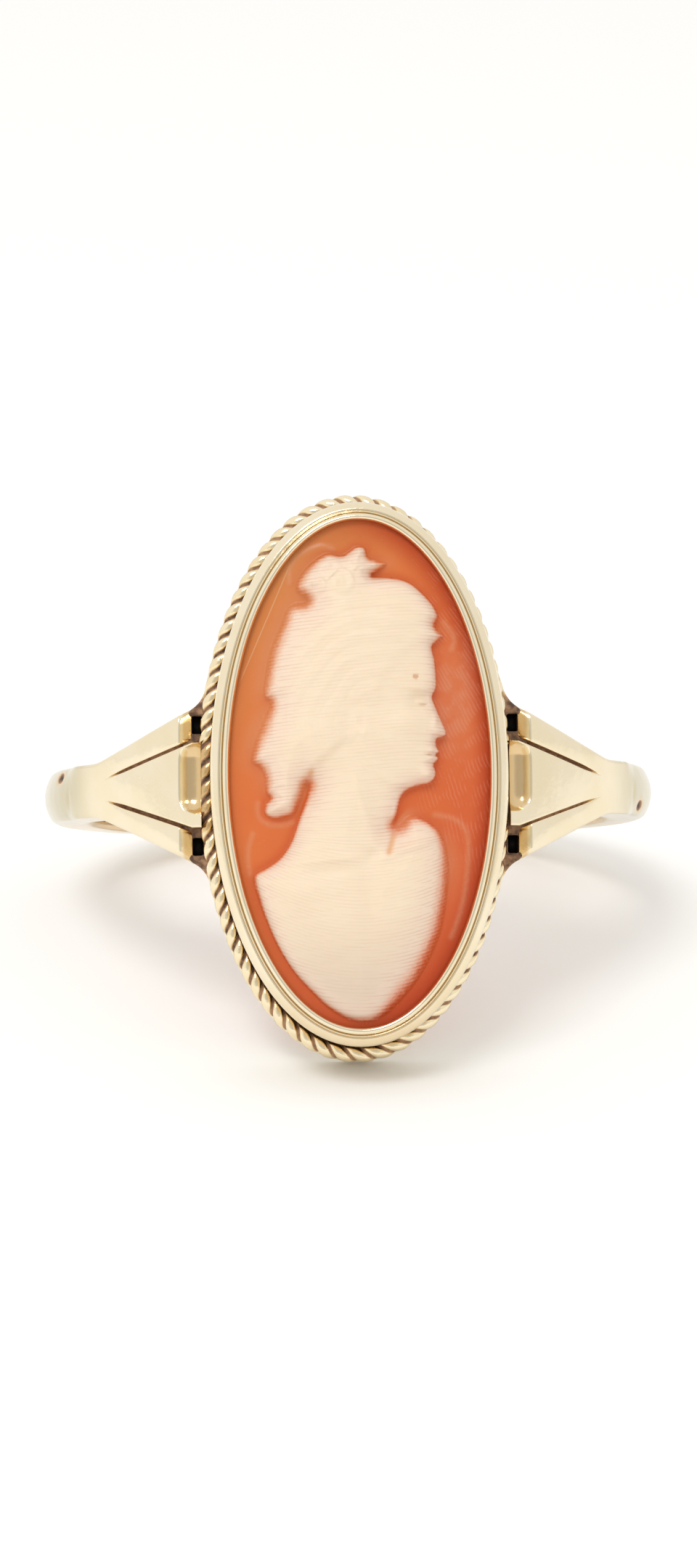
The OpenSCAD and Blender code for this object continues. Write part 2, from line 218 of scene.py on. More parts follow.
def end_wall(points, dirt_and_shade, last, kinds):
    """Closes the shoulder's end, with the tongue reaching out of it to the rope."""
    top_count, down_steps = len(kinds), tongue_steps + 3
    left = [last[0]] + [last[-i] for i in range(1, top_count)]
    columns = list(reversed(left))[:-1] + last[:top_count]
    column_kinds = list(reversed(kinds))[:-1] + kinds
    side_right, side_left = last[top_count], last[-top_count]
    grid = [columns]
    for k in range(1, down_steps + 1):
        row = []
        for n, (c, kind) in enumerate(zip(columns, column_kinds)):
            x, y, z = points[c]
            if n in (0, len(columns) - 1):
                row.append((side_left if n == 0 else side_right) if k == down_steps else c)
                continue
            # painted shade: the end wall darkens as it goes down under the head, and the tongue's foot
            # is dark
            if kind == "tongue":
                out, high = tongue_point(x, y, z, k)
                dark = scoop_shade + 0.1 * (k / tongue_steps) ** 4 if k <= tongue_steps else 0.9
                if sink_at(x, y, True) < 0.05:
                    dark = 0.0 if k <= tongue_steps else 0.5
            else:
                out, high = end_x, z + (tongue_foot - z) * k / down_steps
                dark = min(0.95, 0.2 + k / 9)
            row.append(len(points))
            points.append((out, y, high))
            dirt_and_shade.append(dark)
        grid.append(row)
    faces = []
    for a, b in zip(grid, grid[1:]):
        for i in range(len(a) - 1):
            ring = []
            for v in (a[i], b[i], b[i + 1], a[i + 1]):
                if v not in ring:
                    ring.append(v)
            if len(ring) > 2:
                faces.append(tuple(ring))
    wall = grid[-1] + last[top_count + 1 : len(last) - top_count]
    return faces + [tuple(reversed(wall))]


def shank_half(cuts, pit_side):
    """Half of the band and its shoulder, back to head, and each point's dirt and painted shade."""
    stations = np.concatenate(
        [np.linspace(-1, 0, 57)[:-1], np.linspace(0, 0.92, 120)[:-1], np.linspace(0.92, 1, 34)]
    )
    end_turn = math.acos((end_x - arc_x) / arc_r)
    bore_turn = math.acos(end_x / finger_r)
    points, dirt_and_shade, rows = [], [], []
    for u in stations:
        if u <= 0:
            a = u * math.pi / 2
            raised = band_rise * math.sin(a) ** 2
            outer = Vector((band_r * math.cos(a), band_r * math.sin(a) + raised))
            inner = Vector((finger_r * math.cos(a), finger_r * math.sin(a)))
        else:
            outer = Vector((arc_x + arc_r * math.cos(u * end_turn), arc_r * math.sin(u * end_turn)))
            inner = Vector((finger_r * math.cos(u * bore_turn), finger_r * math.sin(u * bore_turn)))
        thick = (outer - inner).length
        way = (outer - inner) / thick
        section, kinds = section_at(u, outer.x, thick, cuts, pit_side)
        row = []
        for y, depth, dark_here in section:
            at = outer - way * depth
            row.append(len(points))
            points.append((at.x, y, at.y))
            dirt_and_shade.append(dark_here)
        rows.append(row)
    faces = []
    for a, b in zip(rows, rows[1:]):
        for i in range(len(a)):
            j = (i + 1) % len(a)
            faces.append((a[i], a[j], b[j], b[i]))
    return points, dirt_and_shade, faces + end_wall(points, dirt_and_shade, rows[-1], kinds)


def closed_shell(mesh, seam_gap, crease):
    """Merges a mesh's seams and turns its faces outwards.

    Edges over the crease angle stay sharp, and so do those round a face with many corners.
    """
    shape = bmesh.new()
    shape.from_mesh(mesh)
    if seam_gap:
        bmesh.ops.remove_doubles(shape, verts=shape.verts, dist=seam_gap)
    bmesh.ops.recalc_face_normals(shape, faces=shape.faces)
    for edge in shape.edges:
        around_wall = any(len(face.verts) > 8 for face in edge.link_faces)
        edge.smooth = edge.calc_face_angle(0) < math.radians(crease) and not around_wall
    shape.to_mesh(mesh)
    shape.free()
    return mesh


def shank_mesh():
    points, dirt_and_shade, faces = shank_half((1.0, shallow_cut), -1)
    left_points, left_dirt_and_shade, left_faces = shank_half((shallow_cut + 0.2, 1.0), 1)
    count = len(points)
    both = points + [(-x, y, z) for x, y, z in left_points]
    mesh = bpy.data.meshes.new("band_and_shoulders")
    mesh.from_pydata(both, [], faces + [tuple(i + count for i in reversed(f)) for f in left_faces])
    mesh.attributes.new("dirt_and_shade", "FLOAT", "POINT").data.foreach_set("value", dirt_and_shade + left_dirt_and_shade)
    return closed_shell(mesh, 0.0008, 181)


class Signal:
    """A node's output that can be used in sums."""

    def __init__(self, owner, socket):
        self.owner = owner
        self.socket = socket

    def sum(self, operation, a, b=0.0):
        return self.owner.node("ShaderNodeMath", {"operation": operation}, a, b)

    def __add__(self, other):
        return self.sum("ADD", self, other)

    def __radd__(self, other):
        return self.sum("ADD", other, self)

    def __sub__(self, other):
        return self.sum("SUBTRACT", self, other)

    def __rsub__(self, other):
        return self.sum("SUBTRACT", other, self)

    def __mul__(self, other):
        return self.sum("MULTIPLY", self, other)

    def __rmul__(self, other):
        return self.sum("MULTIPLY", other, self)

    def __truediv__(self, other):
        return self.sum("DIVIDE", self, other)

    def __pow__(self, other):
        return self.sum("POWER", self, other)

    def size(self):
        return self.sum("ABSOLUTE", self)

    def sine(self):
        return self.sum("SINE", self)

    def clamped(self):
        return self.owner.node("ShaderNodeClamp", {}, self)

    def rise(self, low, high):
        """0 below low, 1 above high, and a smooth rise between them."""
        return self.owner.node(
            "ShaderNodeMapRange", {"interpolation_type": "SMOOTHSTEP"}, self, low, high, 0.0, 1.0
        )


class Tree:
    """A node tree whose nodes are made one by one."""

    def __init__(self, tree):
        self.tree = tree

    def put(self, socket, value):
        if isinstance(value, Signal):
            self.tree.links.new(value.socket, socket)
        elif value is not None:
            socket.default_value = value

    def node(self, kind, settings, *values, out=0, **named):
        """Makes one node: its settings first, then the values or links of its sockets."""
        made = self.tree.nodes.new(kind)
        for key, value in settings.items():
            setattr(made, key, value)
        for socket, value in zip(made.inputs, values):
            self.put(socket, value)
        for key, value in named.items():
            self.put(made.inputs[key.replace("_", " ")], value)
        return Signal(self, made.outputs[out])

    def mix(self, share, a, b):
        """Mixes two colours, which go in the node's seventh and eighth sockets."""
        between = [None] * 5
        return self.node("ShaderNodeMix", {"data_type": "RGBA"}, share, *between, a, b, out=2)

    def times(self, vector, scale):
        """A vector stretched along each axis."""
        return self.node("ShaderNodeVectorMath", {"operation": "MULTIPLY"}, vector, scale)

    def axes(self, vector):
        """The three parts of a vector."""
        first = self.node("ShaderNodeSeparateXYZ", {}, vector)
        return [Signal(self, socket) for socket in first.socket.node.outputs]

    def noise(self, where, scale, detail=2.0, roughness=0.5):
        return self.node(
            "ShaderNodeTexNoise", {}, Vector=where, Scale=scale, Detail=detail, Roughness=roughness
        )


class Finish(Tree):
    """A material on one surface shader."""

    def __init__(self, name):
        self.material = bpy.data.materials.new(name)
        self.material.use_nodes = True
        super().__init__(self.material.node_tree)
        self.tree.nodes.clear()
        self.shader = self.tree.nodes.new("ShaderNodeBsdfPrincipled")
        output = self.tree.nodes.new("ShaderNodeOutputMaterial")
        self.tree.links.new(self.shader.outputs["BSDF"], output.inputs["Surface"])

    def place(self, scale):
        """The point on the piece in millimetres, stretched by a scale along each axis."""
        spot = self.node("ShaderNodeTexCoord", {}, out="Object")
        return self.times(spot, [1000.0 * s for s in scale])

    def value(self, name):
        """A number kept on the piece's own mesh."""
        return self.node("ShaderNodeAttribute", {"attribute_name": name}, out="Fac")

    def bump(self, height, distance, under=None):
        """Raises the surface by a height, full at the distance in millimetres."""
        reach = distance * 0.001
        return self.node(
            "ShaderNodeBump", {}, Strength=1.0, Distance=reach, Height=height, Normal=under
        )

    def ends(self, **sockets):
        for key, value in sockets.items():
            self.put(self.shader.inputs[key.replace("_", " ")], value)
        return self.material


def gold_finish(name, light, deep, polish, grain, dirt_and_shade):
    """Pale 14-carat gold, filed and polished on a wheel. Years of wear leave hairlines and dents.

    Dirt stays where the wheel can't reach, and painted shade darkens recesses and undersides the same
    way: the argument after grain names the mesh value for how dark each point is.
    """
    end_shade_tone, tarnish_and_shade = (0.58, 0.52, 0.355, 1), (0.72, 0.50, 0.24, 1)
    dark_dirt_and_shade, brown_dirt_and_shade = (0.085, 0.042, 0.024, 1), (0.27, 0.145, 0.075, 1)
    dry_dirt_and_shade, dusty_dirt_and_shade = (0.30, 0.155, 0.080, 1), (0.46, 0.27, 0.15, 1)
    painted_black = (0.012, 0.008, 0.006, 1)
    gold = Finish(name)
    where = gold.place((1, 1, 1))
    cloudy = gold.noise(where, 0.5, 3.0)
    patchy = gold.noise(where, 1.6, 2.0, 0.4)
    fine = gold.noise(where, 6.0, 4.0, 0.6)
    hair = gold.noise(gold.place((1.5, 14, 14)), 1.0, 3.0, 0.7)
    cross = gold.noise(gold.place((16, 2.0, 5)), 1.0, 3.0, 0.7)
    hairlines = hair.rise(0.60, 0.72) + cross.rise(0.62, 0.74)
    deepness = gold.value(dirt_and_shade)
    grime_and_shade = (deepness * (0.8 + fine * 0.4)).rise(0.34, 0.62)
    bright = gold.mix(cloudy.rise(0.35, 0.7) * 0.7, light, deep)
    across, _, _ = gold.axes(where)
    # painted shade: both ends of the band are greyed, standing in for their darker reflection
    band_end_shade = (across * across + cloudy * 8.0).rise(68.0, 92.0)
    bright = gold.mix(band_end_shade * 0.9, bright, end_shade_tone)
    # tarnish and browns: dirt in grooves and hollows, and painted shade in recesses and undersides
    bright = gold.mix(deepness.rise(0.02, 0.26), bright, tarnish_and_shade)
    brown = gold.mix(fine.rise(0.35, 0.65), dark_dirt_and_shade, brown_dirt_and_shade)
    dust_and_shade = gold.mix(fine.rise(0.4, 0.6), dry_dirt_and_shade, dusty_dirt_and_shade)
    brown = gold.mix(deepness.rise(0.95, 0.75), brown, dust_and_shade)
    # the black is painted shade in the gallery's holes and a painted dark reflection in the band's pits
    brown = gold.mix(deepness.rise(1.2, 1.8), brown, painted_black)
    colour = gold.mix(grime_and_shade, bright, brown)
    roughness = polish + cloudy * 0.05 + hairlines * 0.05 + grime_and_shade * 0.5
    waves = gold.bump(patchy, 0.02)
    dents = gold.bump(fine, grain, under=waves)
    scratched = gold.bump(1.0 - hairlines * 0.5, 0.0015, under=dents)
    return gold.ends(
        Base_Color=colour,
        Metallic=(1.0 - grime_and_shade).clamped(),
        Roughness=roughness.clamped(),
        Normal=scratched,
    )


polished_gold = gold_finish(
    "polished_gold", (0.90, 0.80, 0.60, 1), (0.86, 0.735, 0.50, 1), 0.12, 0.003, "dirt_and_shade"
)


def new_piece(name, mesh):
    piece = bpy.data.objects.new(name, mesh)
    bpy.context.scene.collection.objects.link(piece)
    return piece


def lay_down(piece, stands_for):
    """Lays a finished upright piece on the table and ties it to the frame."""
    piece.data.transform(LAID)
    for face in piece.data.polygons:
        face.use_smooth = True
    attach(piece, "root")
    if stands_for:
        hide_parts(stands_for)
    return piece


band = new_piece("band_and_shoulders", shank_mesh())
band.data.materials.append(polished_gold)
lay_down(band, "band_and_setting")


# Gallery plate
# A flat oval plate under the rope, sawn from sheet. A web reaches out to each shoulder, with a small
# square hole left beside each prong, and the whole is soldered to the bezel and the shoulders.

head_shift = 0.25
gallery_half, seat_half = (4.93, 8.89), (3.7, 7.5)
gallery_low, gallery_top, gallery_round = 9.3, 10.05, 0.06
web_low, web_high, fillet_r = (4.580, -3.04), (4.681, 3.04), 0.9
fillet_low, fillet_high = (5.462, -3.220), (5.573, 3.159)
hole_from, hole_to, hole_y, hole_half, hole_floor = 4.75, 5.10, 1.9, 0.275, 0.15
hole_x, hole_wide = (hole_from + hole_to) / 2, (hole_to - hole_from) / 2
hole_round, floor_lap = 0.07, 0.08
hole_places = ((-1, -1), (-1, 1), (1, -1), (1, 1))


def oval_points(half, start, stop, steps):
    turns = np.linspace(start, stop, steps)
    return [(half[0] * math.cos(a), head_shift + half[1] * math.sin(a)) for a in turns]


def fillet_points(middle, start, stop, steps=14):
    a0 = math.atan2(start[1] - middle[1], start[0] - middle[0])
    a1 = math.atan2(stop[1] - middle[1], stop[0] - middle[0])
    a1 = a0 + (a1 - a0 + math.pi) % (2 * math.pi) - math.pi
    return [
        (middle[0] + fillet_r * math.cos(a), middle[1] + fillet_r * math.sin(a))
        for a in np.linspace(a0, a1, steps)
    ]


def gallery_outline():
    high = math.asin((web_high[1] - head_shift) / gallery_half[1])
    low = math.asin((web_low[1] - head_shift) / gallery_half[1])
    upper = fillet_points(fillet_high, (end_x, end_half), web_high)
    lower = fillet_points(fillet_low, (end_x, -end_half), web_low)
    root = [(end_x + 0.3, -end_half + 0.3), (end_x + 0.3, end_half - 0.3)]
    right = list(reversed(lower)) + root + upper
    top = oval_points(gallery_half, high, math.pi - high, 120)[1:-1]
    left = [(-x, y) for x, y in reversed(right)]
    bottom = oval_points(gallery_half, math.pi - low, 2 * math.pi + low, 120)[1:-1]
    outline = []
    # the rim is tucked in under the rope, a little more at the right and at the top
    for x, y in right + top + left + bottom:
        tuck = float(ease(abs(y), 2.4, 4.2))
        outline.append((x - tuck * (0.04 + 0.012 * x), y - tuck * (0.08 + 0.010 * y)))
    return outline


def plate(name, outlines, low, high, rounding):
    """A flat plate with rounded edges. The first outline is its edge and the others are holes."""
    curve = bpy.data.curves.new(name, "CURVE")
    curve.dimensions = "2D"
    curve.fill_mode = "BOTH"
    curve.extrude = (high - low) / 2 - rounding
    curve.bevel_depth = rounding
    curve.bevel_resolution = 3
    curve.offset = -rounding
    for outline in outlines:
        spline = curve.splines.new("POLY")
        spline.points.add(len(outline) - 1)
        for point, (x, y) in zip(spline.points, outline):
            point.co = (x, y, 0, 1)
        spline.use_cyclic_u = True
    flat = new_piece(name + "_outline", curve)
    bpy.context.view_layer.update()
    mesh = bpy.data.meshes.new_from_object(
        flat.evaluated_get(bpy.context.evaluated_depsgraph_get())
    )
    bpy.data.objects.remove(flat)
    mesh.transform(Matrix.Translation((0, 0, (low + high) / 2)))
    return closed_shell(mesh, 0.0005, 35)


holes = []
for side, up in hole_places:
    outline = []
    for turn, (corner_x, corner_y) in enumerate(((1, 1), (-1, 1), (-1, -1), (1, -1))):
        for a in np.linspace(0, math.pi / 2, 4) + turn * math.pi / 2:
            x = hole_x + corner_x * (hole_wide - hole_round) + hole_round * math.cos(a)
            y = up * hole_y + corner_y * (hole_half - hole_round) + hole_round * math.sin(a)
            outline.append((side * x, y))
    holes.append(outline)
gallery_mesh = plate(
    "gallery",
    [gallery_outline(), oval_points(seat_half, 0, 2 * math.pi, 161)[:-1], *holes],
    gallery_low,
    gallery_top,
    gallery_round,
)
# a floor under each hole, reaching a little past its rounded rim: a sheet painted black as the shade
# seen through the hole
floors = bmesh.new()
floors.from_mesh(gallery_mesh)
for side, up in hole_places:
    at = Vector((side * hole_x, up * hole_y, gallery_low + hole_floor / 2 - 0.005))
    size = Vector((2 * hole_wide + 2 * floor_lap, 2 * hole_half + 2 * floor_lap, hole_floor, 1))
    placed = Matrix.Translation(at) @ Matrix.Diagonal(size)
    bmesh.ops.create_cube(floors, size=1.0, matrix=placed)
floors.to_mesh(gallery_mesh)
floors.free()
grime_and_shade = gallery_mesh.attributes.new("dirt_and_shade", "FLOAT", "POINT")
for vertex, darkness in zip(gallery_mesh.vertices, grime_and_shade.data):
    x, y, z = vertex.co
    beside_x = abs(abs(x) - hole_x) < hole_wide + floor_lap + 0.015
    beside_y = abs(abs(y) - hole_y) < hole_half + floor_lap + 0.01
    # the hole walls and floors are painted black as shade
    in_hole = beside_x and beside_y and gallery_low + 0.03 < z < gallery_top - 0.04
    # painted shade: the web's top beside each shoulder is painted dark brown
    web = ease(abs(x), 4.3, 4.6) * (1 - ease(abs(y), 2.5, 3.0)) * ease(z, 9.5, 9.8)
    darkness.value = 2.0 if in_hole else 0.95 * web
gallery = new_piece("gallery_plate", gallery_mesh)
gallery.data.materials.append(polished_gold)
lay_down(gallery, None)


# Bezel
# A strip of gold bent into an oval box, with a turned edge: a sloping outer band, a fine step and a
# burnished lip that is pushed over the edge of the stone. It steps out above the rope.

opening_half = (4.0, 7.8)
bezel_off, low_band_shade = 0.08, 0.11
# The edge of the strip, round from its foot: distance out from the opening, height above the middle
# of the finger hole, and how dark it is painted: painted shade at the stone's edge and under the
# overhang where it steps out over the rope, and a darker tone in the lip's two fine grooves.
bezel_profile = [
    (-0.30, 10.00, 0), (-0.30, 10.80, 0), (-0.27, 10.88, 0), (-0.20, 10.90, 0),
    (0.22, 10.90, 0), (0.25, 10.93, 0), (0.25, 12.27, 0), (0.22, 12.30, 0),
    (0.05, 12.30, 0), (0.010, 12.315, 0.2), (0.00, 12.35, 0.16), (0.004, 12.42, 0.12),
    (0.018, 12.475, 0.05), (0.045, 12.522, 0), (0.08, 12.547, 0), (0.115, 12.552, 0),
    (0.15, 12.542, 0), (0.185, 12.515, 0), (0.210, 12.475, 0), (0.226, 12.430, 0.16),
    (0.236, 12.405, 0.30), (0.246, 12.408, 0.24), (0.256, 12.432, 0.06), (0.274, 12.445, 0),
    (0.292, 12.430, 0.06), (0.302, 12.395, 0.18), (0.310, 12.372, 0.28), (0.322, 12.370, 0.16),
    (0.336, 12.380, 0), (0.37, 12.372, 0), (0.41, 12.350, 0), (0.45, 12.320, 0),
    (0.49, 12.282, 0), (0.53, 12.235, 0), (0.56, 12.185, 0), (0.582, 12.125, 0),
    (0.595, 12.06, 0), (0.60, 11.98, 0), (0.60, 11.30, 0), (0.60, 10.76, 0.1),
    (0.585, 10.69, 0.3), (0.55, 10.65, 0.5), (0.36, 10.65, 0.95), (0.24, 10.62, 0.95),
    (0.24, 10.00, 0.95),
]


class Forming(Tree):
    """A Geometry Nodes tree with named inputs for its sizes, that sweeps an outline along an oval."""

    def __init__(self, name, sizes):
        super().__init__(bpy.data.node_groups.new(name, "GeometryNodeTree"))
        self.tree.is_modifier = True
        face = self.tree.interface
        face.new_socket("Geometry", in_out="INPUT", socket_type="NodeSocketGeometry")
        face.new_socket("Geometry", in_out="OUTPUT", socket_type="NodeSocketGeometry")
        self.sizes = {}
        kinds = {float: "NodeSocketFloat", int: "NodeSocketInt"}
        for key, value in sizes.items():
            kind = kinds.get(type(value), "NodeSocketMaterial")
            self.sizes[key] = (face.new_socket(key, in_out="INPUT", socket_type=kind), value)
        self.source = self.tree.nodes.new("NodeGroupInput")

    def size(self, key):
        return Signal(self, self.source.outputs[key])

    def oval(self, steps):
        """An oval path in the ring's own place, with evenly spaced points."""
        circle = self.node(
            "GeometryNodeCurvePrimitiveCircle", {"mode": "RADIUS"}, Resolution=720, Radius=1.0
        )
        halves = self.node(
            "ShaderNodeCombineXYZ", {}, self.size("Half width"), self.size("Half length"), 1.0
        )
        stretched = self.times(self.node("GeometryNodeInputPosition", {}), halves)
        oval = self.node("GeometryNodeSetPosition", {}, circle, Position=stretched)
        return self.node("GeometryNodeResampleCurve", {"mode": "COUNT"}, oval, Count=steps)

    def swept(self, path, turned=0.0):
        """Sweeps the starting outline along a path, turned about it as it goes."""
        upright = self.node("GeometryNodeSetCurveNormal", {"mode": "Z_UP"}, path)
        twisted = self.node("GeometryNodeSetCurveTilt", {}, upright, Tilt=turned)
        outline = self.node("GeometryNodeMeshToCurve", {}, self.size("Geometry"))
        return self.node("GeometryNodeCurveToMesh", {}, twisted, outline)

    def keep(self, kind, shape, name, value):
        """Keeps a value on each point of a shape, under a name."""
        settings = {"data_type": kind, "domain": "POINT"}
        return self.node("GeometryNodeStoreNamedAttribute", settings, shape, Name=name, Value=value)

    def shape(self, name, start, result):
        """Runs the tree on a starting outline and returns the plain mesh that it makes."""
        solid = self.node("GeometryNodeRealizeInstances", {}, result)
        painted = self.node("GeometryNodeSetMaterial", {}, solid, Material=self.size("Finish"))
        self.put(self.tree.nodes.new("NodeGroupOutput").inputs[0], painted)
        holder = new_piece(name + "_start", start)
        modifier = holder.modifiers.new(name, "NODES")
        modifier.node_group = self.tree
        for socket, value in self.sizes.values():
            modifier[socket.identifier] = value
        bpy.context.view_layer.update()
        graph = bpy.context.evaluated_depsgraph_get()
        mesh = bpy.data.meshes.new_from_object(
            holder.evaluated_get(graph), preserve_all_data_layers=True, depsgraph=graph
        )
        bpy.data.objects.remove(holder)
        mesh.name = name
        return mesh


strip = Forming(
    "bezel_sweep",
    {
        "Half width": opening_half[0],
        "Half length": opening_half[1],
        "Steps": 300,
        "Finish": polished_gold,
    },
)
profile = bpy.data.meshes.new("bezel_profile")
profile.from_pydata(
    [(out, -height, 0) for out, height, _ in bezel_profile],
    [(i, (i + 1) % len(bezel_profile)) for i in range(len(bezel_profile))],
    [],
)
profile.attributes.new("dirt_and_shade", "FLOAT", "POINT").data.foreach_set(
    "value", [darkness for _, _, darkness in bezel_profile]
)
bezel_mesh = strip.shape("bezel", profile, strip.swept(strip.oval(strip.size("Steps"))))
for vertex, darkness in zip(bezel_mesh.vertices, bezel_mesh.attributes["dirt_and_shade"].data):
    # painted shade: the sloping band below the lip is darker at the lower end of the oval
    low_end, below_lip = ease(-vertex.co.y, 4.5, 8.2), ease(12.5 - vertex.co.z, 0.0, 0.15)
    darkness.value += low_band_shade * float(low_end * below_lip)
bezel_mesh.transform(Matrix.Translation((bezel_off, head_shift, 0)))
bezel = new_piece("bezel", bezel_mesh)
lay_down(bezel, None)


# Rope border
# Two round gold wires twisted tightly together, bent round the head under the bezel's edge and
# soldered down on the gallery plate. Dirt has settled between the turns, and the gaps between them
# are painted darker still as shade.

rope_half, rope_z, rope_off = (4.61, 8.57), 10.35, (-0.03, -0.06)
rope_gold = gold_finish(
    "rope_gold", (0.93, 0.81, 0.57, 1), (0.88, 0.73, 0.46, 1), 0.10, 0.012, "hollow"
)
rope = Forming(
    "rope_twist",
    {
        "Half width": rope_half[0],
        "Half length": rope_half[1],
        "Turns": 37,
        "Points a turn": 24,
        "Clean above": 0.245,
        "Dark below": 0.205,
        "Finish": rope_gold,
    },
)
turns, here = rope.size("Turns"), rope.node("GeometryNodeInputPosition", {})
core = rope.keep("FLOAT_VECTOR", rope.oval(turns * rope.size("Points a turn")), "core", here)
turned = rope.node("GeometryNodeSplineParameter", {}, out="Factor") * turns * (2 * math.pi)
middle = rope.node("GeometryNodeInputNamedAttribute", {"data_type": "FLOAT_VECTOR"}, Name="core")
spread = rope.node("ShaderNodeVectorMath", {"operation": "DISTANCE"}, here, middle, out="Value")
# the gaps between the turns are painted dark: dirt, and painted shade of a deeper gap
deep = rope.node(
    "ShaderNodeMapRange", {}, spread, rope.size("Clean above"), rope.size("Dark below"), 0.0, 1.0
)
twist = rope.keep("FLOAT", rope.swept(core, turned), "hollow", deep)
rope_sides, rope_r, rope_waist = 24, 0.28, 0.60
rope_flat_x, rope_flat_reach = 4.78, 1.3
section = bpy.data.meshes.new("rope_section")
corners = []
for i in range(rope_sides):
    turn = 2 * math.pi * i / rope_sides
    reach = rope_r * (1 - (1 - rope_waist) * (1 - abs(math.cos(turn))) ** 1.4)
    corners.append((reach * math.cos(turn), reach * math.sin(turn), 0))
section.from_pydata(corners, [(i, (i + 1) % rope_sides) for i in range(rope_sides)], [])
rope_mesh = rope.shape("rope_border", section, twist)
# The rope is filed flat where it lies against the tongues, and painted dark there as the shade under
# the tongues' ends. Its gaps are painted lighter on its seat's side and at the head's two ends: painted
# light.
for vertex, darkness in zip(rope_mesh.vertices, rope_mesh.attributes["hollow"].data):
    x, y, z = vertex.co
    beside_tongue = ease(abs(x), 4.2, 4.4) * (1 - ease(abs(y + head_shift), 1.1, 1.6))
    if abs(y + head_shift) < rope_flat_reach:
        vertex.co.x = math.copysign(min(abs(x), rope_flat_x), x)
    # painted light on the seat's side and at the head's two ends, and painted shade beside the tongues
    lightened = 0.25 * ease(-z, 0.0, 0.2) + 0.28 * ease(abs(y), 5.0, 7.6)
    darkness.value = max(0.0, darkness.value - float(lightened)) + 0.42 * float(beside_tongue)
rope_mesh.transform(Matrix.Translation((rope_off[0], head_shift + rope_off[1], rope_z)))
border = new_piece("rope_border_twist", rope_mesh)
lay_down(border, "rope_border")


# Cameo
# One piece of shell in two layers. The orange layer is the polished ground, and the cream layer over it
# is carved into a bust in profile with pinned-up hair. The stone sits in the bezel under the lip.

stone_half, stone_low, ground_high, ground_dome = (4.2, 8.0), 10.95, 12.25, 0.35
relief_high, relief_start = 0.93, 0.82
edge_high, swell_high = 0.22, 0.48
clear_half = (3.86, 7.66)
net_across, net_along = 214, 398
wave_middle, wave_pitch = (0.7, 1.55), 0.52
curl_reach, curl_pitch = 0.52, 0.36

# The figure's outline, clockwise from the lock over the forehead: x, y, and how softly the cream layer
# thins out there. The face is a plain one on even thirds.
profile_line = [
    (2.27, 3.86, 0.06), (2.335, 3.50, 0.05), (2.375, 3.12, 0.05), (2.39, 2.78, 0.05),
    (2.375, 2.58, 0.05), (2.28, 2.38, 0.05), (2.27, 2.26, 0.05), (2.36, 2.02, 0.05),
    (2.49, 1.70, 0.05), (2.62, 1.40, 0.05), (2.68, 1.24, 0.05), (2.655, 1.13, 0.05),
    (2.54, 1.07, 0.05), (2.40, 1.03, 0.05), (2.365, 0.92, 0.05), (2.385, 0.78, 0.05),
    (2.445, 0.69, 0.05), (2.44, 0.60, 0.05), (2.355, 0.54, 0.05), (2.42, 0.47, 0.05),
    (2.41, 0.38, 0.05), (2.305, 0.28, 0.05), (2.285, 0.19, 0.05), (2.34, 0.04, 0.05),
    (2.33, -0.12, 0.05), (2.24, -0.27, 0.06), (2.08, -0.37, 0.07), (1.82, -0.42, 0.08),
    (1.58, -0.50, 0.08), (1.40, -0.60, 0.08), (1.28, -0.76, 0.08),
]
neck_and_bust = [
    (1.19, -1.05, 0.08), (1.12, -1.36, 0.09), (1.06, -1.60, 0.22), (1.20, -1.56, 0.45),
    (1.34, -1.42, 0.35), (1.56, -1.30, 0.25), (1.88, -1.37, 0.16),
    (2.33, -1.66, 0.16), (2.60, -2.10, 0.22), (2.73, -2.75, 0.30), (2.70, -3.50, 0.34),
    (2.57, -4.45, 0.36), (2.38, -5.12, 0.38), (2.07, -5.82, 0.40), (1.68, -6.46, 0.42),
    (1.12, -7.10, 0.40), (0.64, -7.52, 0.28), (0.22, -7.68, 0.20), (-0.40, -7.58, 0.14),
    (-1.05, -7.18, 0.10), (-1.62, -6.62, 0.08), (-2.13, -6.03, 0.06), (-2.58, -5.28, 0.06),
    (-2.90, -4.53, 0.06), (-3.15, -3.84, 0.10), (-3.31, -3.28, 0.14), (-3.22, -3.03, 0.12),
    (-2.88, -2.86, 0.08), (-2.45, -2.55, 0.07), (-2.13, -2.06, 0.07), (-1.88, -1.36, 0.07),
    (-1.70, -0.82, 0.10), (-1.60, -0.45, 0.16),
]
